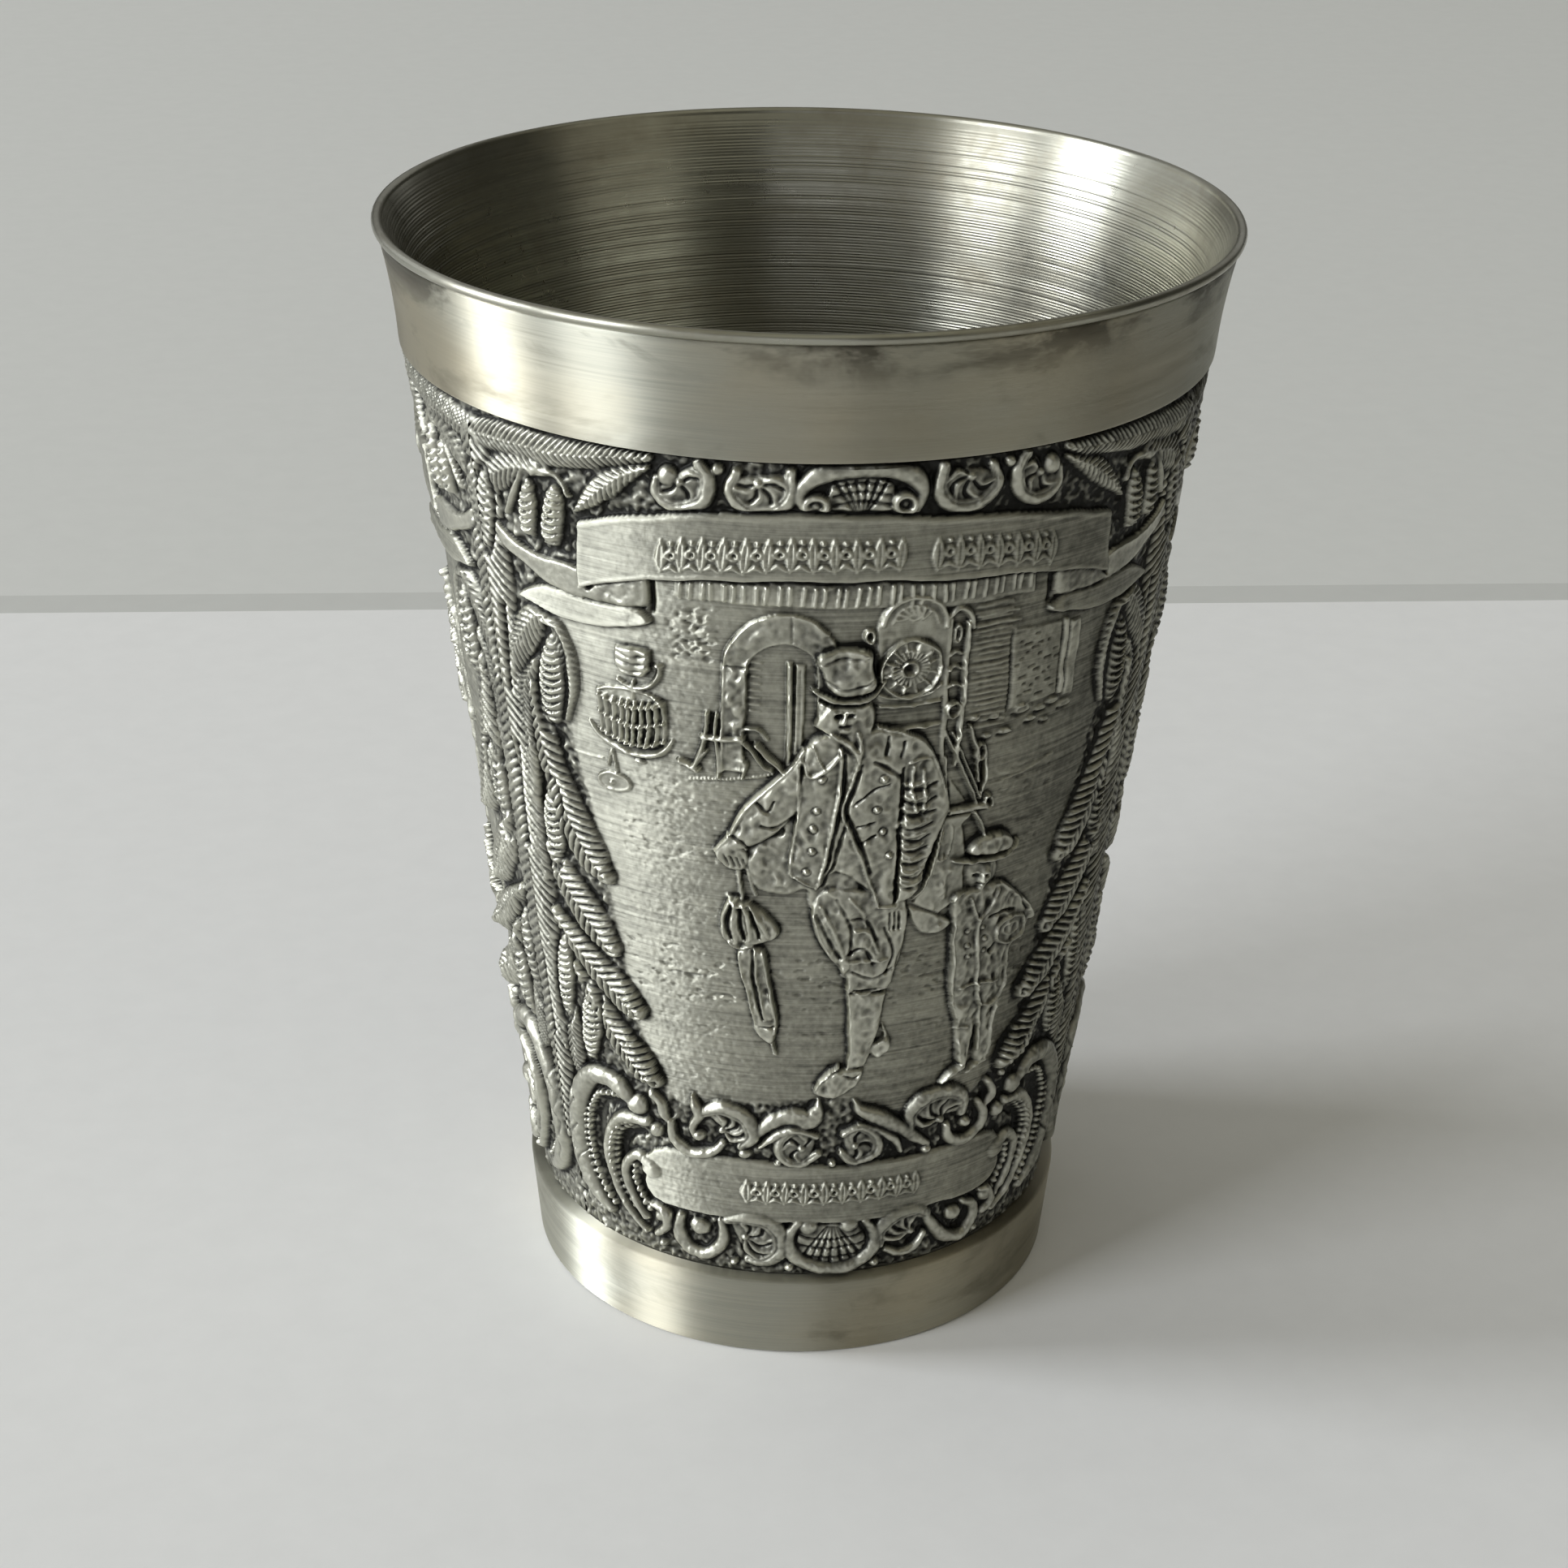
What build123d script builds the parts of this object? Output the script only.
from build123d import *
import os
from math import cos, radians

# A small pewter drinking beaker with a cast relief jacket, as the soldered pieces it comes apart into.
# Millimetres, +Z up. The origin is the centre of the face that the foot stands on.
# The middle of the front relief panel faces -Y, and three equal panels go round the jacket.
# Every piece is turned about Z. An outline is drawn as (radius, height) and revolved.

# Driving dimensions
height = 75.0
rim_radius = 27.5  # outermost point of the rolled drinking lip
lip_bead_radius = 0.33
foot_radius = 18.45  # foot band at the table
foot_band_height = 6.2
rim_band_height = 8.0  # plain turned band, measured from the lip's top

# Wall
wall_taper = 0.1188  # radius gained per millimetre of height
liner_thickness = 0.45
liner_outer_at_band = 24.8  # liner's outside radius at the rim band's lower edge
jacket_thickness = 0.55  # cast ground of the jacket, without its relief
relief_mean_height = 0.35  # the jacket's solid stops halfway up its relief
fitting_gap = 0.02  # between pieces that slide together before they are soldered

# Bands
rim_band_bottom = height - rim_band_height
rim_band_outer_bottom = 26.1
rim_band_outer_top = 27.2
rim_band_edge_round = 0.3
flare_middle = 71.0  # height of the point that shapes each of the three flared faces under the lip
flare_bore = 25.2
flare_liner = 25.6
flare_band = 26.53
foot_band_outer_top = 19.0
foot_edge_round = 0.35
foot_edge_break = 0.2

# Base
foot_inner_radius = 16.3
base_seat_height = 2.0
base_thickness = 1.4
base_top = base_seat_height + base_thickness
base_solder_leg = 0.6

# Solder seams, which lie a little below the faces on both sides of them
seam_height = 0.3
seam_recess = 0.15

# Raised pads of the jacket: title banner, lower cartouche and the fir boughs between the panels
panel_count = 3
panel_angle = 360 / panel_count
pad_height = 0.3
pad_root = 0.2  # how far a pad reaches into the ground below it
banner_low = 59.3
banner_high = 62.9
banner_angle = 78.0
cartouche_low = 11.6
cartouche_high = 15.8
cartouche_angle = 76.0
bough_low = 17.0
bough_high = 64.0
bough_angle = 14.0

lip_height = height - lip_bead_radius
lip_middle_radius = rim_radius - lip_bead_radius
rim_band_top = height - 2 * lip_bead_radius - 0.04


def liner_outer(z):
    """Radius of the liner's outside on the straight part of the wall."""
    return liner_outer_at_band - wall_taper * (rim_band_bottom - z)


def liner_inner(z):
    """Radius of the liner's bore on the straight part of the wall."""
    return liner_outer(z) - liner_thickness


def jacket_ground(z):
    """Radius of the jacket's plain ground, from which the relief rises."""
    return liner_outer(z) + jacket_thickness


def turned(outline):
    """Solid of revolution of a closed (radius, height) outline, given as its edges in order."""
    return revolve(Plane.XZ * make_face(outline), Axis.Z)


def turned_polygon(*corners):
    """Solid of revolution of a straight-sided outline."""
    return turned(Polyline(*corners, close=True))


def sector(corners, middle_angle, swept_angle):
    """Part turn of a straight-sided outline, centred on middle_angle, which counts from the front (-Y)."""
    face = Plane.XZ * make_face(Polyline(*corners, close=True))
    start = middle_angle - 90 - swept_angle / 2
    return Rot(0, 0, start) * revolve(face, Axis.Z, revolution_arc=swept_angle)


def quarter_round(start, end, square_corner, radius):
    """Rounded corner of an outline between start and end, which both lie one radius from square_corner."""
    centre = (start[0] + end[0] - square_corner[0], start[1] + end[1] - square_corner[1])
    reach = radius * cos(radians(45))
    toward_r = 1 if square_corner[0] > centre[0] else -1
    toward_z = 1 if square_corner[1] > centre[1] else -1
    return ThreePointArc(start, (centre[0] + toward_r * reach, centre[1] + toward_z * reach), end)


def flare_outer():
    """Where the liner's outside bends outward to the lip: start, a point on the way, and end."""
    return (
        (liner_outer_at_band, rim_band_bottom),
        (flare_liner, flare_middle),
        (lip_middle_radius - 0.12, lip_height - 0.1),
    )


def flare_inner():
    """The same bend on the bore's side."""
    return (
        (liner_inner(rim_band_bottom), rim_band_bottom),
        (flare_bore, flare_middle),
        (lip_middle_radius - lip_bead_radius + 0.02, lip_height + 0.05),
    )


def make_inner_liner():
    """Tapered tube with a turned bore, flared at the top and rolled over into the drinking lip."""
    outer_start, outer_middle, outer_end = flare_outer()
    inner_start, inner_middle, inner_end = flare_inner()
    outer_foot = (liner_outer(base_top), base_top)
    inner_foot = (liner_inner(base_top), base_top)
    wall = turned(
        [
            Line(inner_foot, outer_foot),
            Line(outer_foot, outer_start),
            ThreePointArc(outer_start, outer_middle, outer_end),
            Line(outer_end, inner_end),
            ThreePointArc(inner_end, inner_middle, inner_start),
            Line(inner_start, inner_foot),
        ]
    )
    bead = revolve(Plane.XZ * Pos(lip_middle_radius, lip_height) * Circle(lip_bead_radius), Axis.Z)
    return wall + bead


def make_rim_band():
    """Plain turned band under the lip, with a rounded lower edge that stands proud of the relief's ground."""
    gap = fitting_gap
    (start_r, start_z), (middle_r, middle_z), (end_r, end_z) = flare_outer()
    top_inner = (end_r - 0.03 + gap, rim_band_top)
    bottom_inner = (start_r + gap, start_z)
    square_corner = (rim_band_outer_bottom, rim_band_bottom)
    corner_foot = (rim_band_outer_bottom - rim_band_edge_round, rim_band_bottom)
    corner_top = (rim_band_outer_bottom, rim_band_bottom + rim_band_edge_round)
    top_outer = (rim_band_outer_top, rim_band_top)
    return turned(
        [
            Line(bottom_inner, corner_foot),
            quarter_round(corner_foot, corner_top, square_corner, rim_band_edge_round),
            ThreePointArc(corner_top, (flare_band, flare_middle), top_outer),
            Line(top_outer, top_inner),
            ThreePointArc(top_inner, (middle_r + gap, middle_z), bottom_inner),
        ]
    )


def make_relief_jacket():
    """Cast conical sleeve between the two plain bands, with its largest raised pads."""
    low = foot_band_height + seam_height
    high = rim_band_bottom - seam_height
    gap = fitting_gap
    mean = relief_mean_height
    jacket = turned_polygon(
        (liner_outer(low) + gap, low),
        (jacket_ground(low) + mean, low),
        (jacket_ground(high) + mean - 0.15, high),
        (liner_outer(high) + gap, high),
    )
    for panel in range(panel_count):
        middle = panel * panel_angle
        for pad_low, pad_high, turn, swept in (
            (banner_low, banner_high, 0, banner_angle),
            (cartouche_low, cartouche_high, 0, cartouche_angle),
            (bough_low, bough_high, panel_angle / 2, bough_angle),
        ):
            foot, top = jacket_ground(pad_low) + mean, jacket_ground(pad_high) + mean
            corners = (
                (foot - pad_root, pad_low),
                (foot + pad_height, pad_low),
                (top + pad_height, pad_high),
                (top - pad_root, pad_high),
            )
            jacket += sector(corners, middle + turn, swept)
    return jacket


def make_foot_band():
    """Plain turned ring that the beaker stands on, with a shoulder inside for the base disc."""
    top = foot_band_height
    socket_radius = liner_outer(base_top) + fitting_gap
    rest_outer = (foot_radius - foot_edge_round, 0)
    side_foot = (foot_radius, foot_edge_round)
    inside = Polyline(
        side_foot,
        (foot_band_outer_top, top),
        (liner_outer(top) + fitting_gap, top),
        (socket_radius, base_top),
        (socket_radius, base_seat_height),
        (foot_inner_radius, base_seat_height),
        (foot_inner_radius, foot_edge_break),
        (foot_inner_radius + foot_edge_break, 0),
        rest_outer,
    )
    return turned([inside, quarter_round(rest_outer, side_foot, (foot_radius, 0), foot_edge_round)])


def make_base_disc():
    """Flat bottom plate that sits on the foot band's shoulder and carries the liner."""
    return Pos(0, 0, base_seat_height) * Cylinder(
        liner_outer(base_top), base_thickness, align=(Align.CENTER, Align.CENTER, Align.MIN)
    )


def make_base_solder_fillet():
    """Fillet of solder in the corner between the liner's bore and the base disc."""
    z = base_top
    leg = base_solder_leg
    gap = fitting_gap
    upper = (liner_inner(z + leg) - gap, z + leg)
    inward = (liner_inner(z) - leg, z)
    hollow = (liner_inner(z) - leg * 0.36, z + leg * 0.36)
    return turned(
        [
            Line(inward, (liner_inner(z) - gap, z)),
            Line((liner_inner(z) - gap, z), upper),
            ThreePointArc(upper, hollow, inward),
        ]
    )


def make_seam(low, proud_radius):
    """Solder seam between two pieces stacked along the wall, from height low up."""
    high = low + seam_height
    return turned_polygon(
        (liner_outer(low) + fitting_gap, low),
        (proud_radius, low),
        (proud_radius, high),
        (liner_outer(high) + fitting_gap, high),
    )


foot_seam_low = foot_band_height
rim_seam_low = rim_band_bottom - seam_height
pieces = {
    "inner_liner": make_inner_liner(),
    "rim_band": make_rim_band(),
    "relief_jacket": make_relief_jacket(),
    "foot_band": make_foot_band(),
    "base_disc": make_base_disc(),
    "base_solder_fillet": make_base_solder_fillet(),
    "foot_solder_seam": make_seam(foot_seam_low, jacket_ground(foot_seam_low) - seam_recess),
    "rim_solder_seam": make_seam(rim_seam_low, jacket_ground(rim_seam_low) - seam_recess),
}

os.makedirs("parts", exist_ok=True)
for name, piece in pieces.items():
    export_step(piece, f"parts/{name}.step")
    print(name, round(piece.volume, 1))
